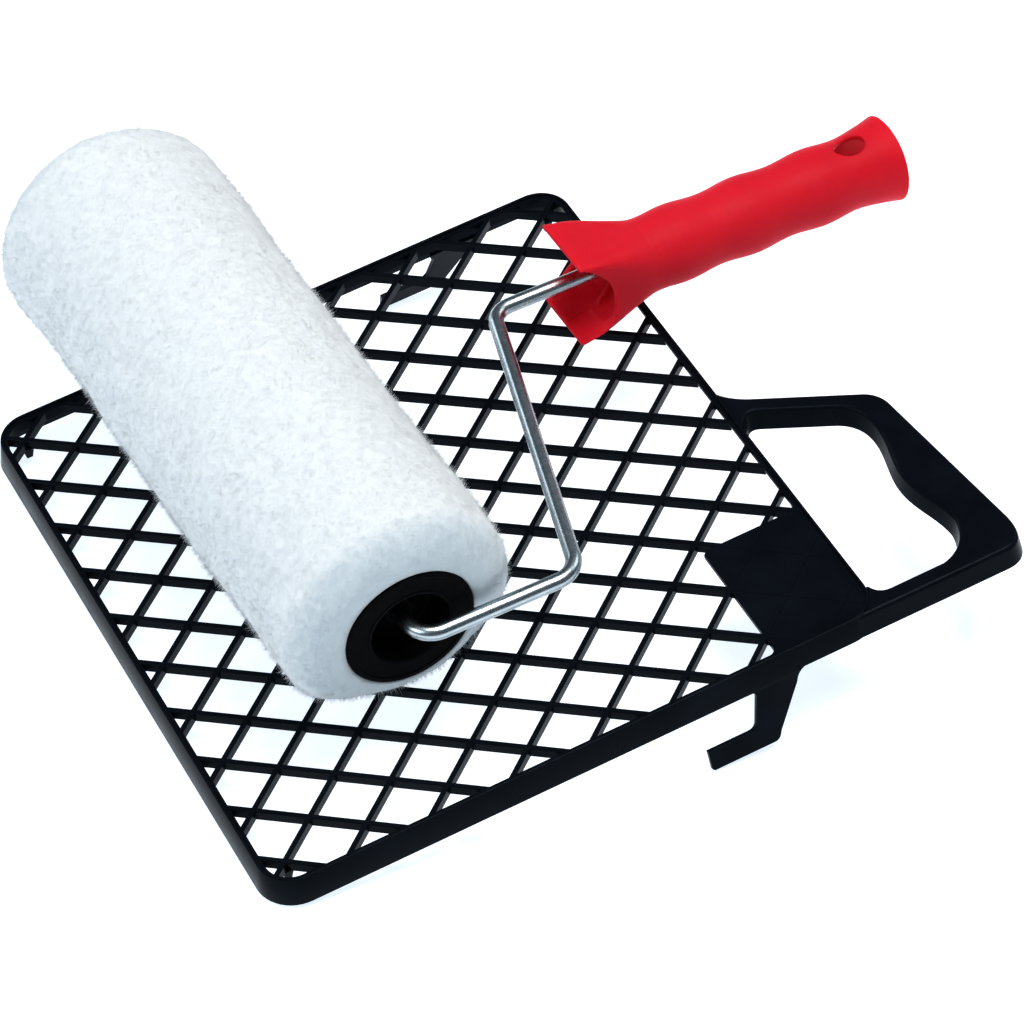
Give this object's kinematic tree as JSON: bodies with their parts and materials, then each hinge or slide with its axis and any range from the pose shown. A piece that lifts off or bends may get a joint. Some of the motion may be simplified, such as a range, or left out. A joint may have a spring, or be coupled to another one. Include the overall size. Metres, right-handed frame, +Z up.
{
  "type": "paint roller and scraper grid",
  "caption": "Black plastic paint scraper grid with a carry handle and bucket hooks, and a white fleece roller on a bent wire frame with a red handle lying across it.",
  "frame": {"origin": "on the table under the middle of the whole set, at the centre of its bounding box", "axes": "+X towards the carry handle and the butt of the roller handle, +Y along the roller away from the viewer, +Z up"},
  "size_m": [0.3492, 0.309, 0.1055],
  "materials": {
    "grid_plastic": "glossy black injection-moulded polypropylene",
    "cap_plastic": "satin black moulded plastic",
    "handle_plastic": "satin red moulded polypropylene",
    "fleece": "long white fleece pile",
    "tube": "matt resin-bound core tube",
    "zinc_wire": "bright zinc-plated drawn steel wire",
    "clip_steel": "plain spring steel"
  },
  "bodies": {
    "grid": {"grid_lattice": "grid_plastic", "grid_rim": "grid_plastic", "grid_carry_handle": "grid_plastic", "bucket_hook_front": "grid_plastic", "bucket_hook_rear": "grid_plastic", "corner_post_front_left": "grid_plastic", "corner_post_front_right": "grid_plastic", "corner_post_rear_left": "grid_plastic", "corner_post_rear_right": "grid_plastic"},
    "roller_frame": {"wire_frame": "zinc_wire", "handle_grip": "handle_plastic", "retaining_clip": "clip_steel"},
    "roller_sleeve": {"nap_cover": "fleece", "core_tube": "tube", "end_cap_near": "cap_plastic", "end_cap_far": "cap_plastic"}
  },
  "joints": [
    {"name": "roller_lift", "type": "slide", "parent": "grid", "child": "roller_frame", "axis": [0, 0, 1], "range_m": [0, 0.15]},
    {"name": "sleeve_spin", "type": "hinge", "parent": "roller_frame", "child": "roller_sleeve", "pos_m": [-0.09723, -0.09712, 0.06443], "axis": [-0.0239, 0.9997, -0.0032], "continuous": true}
  ]
}
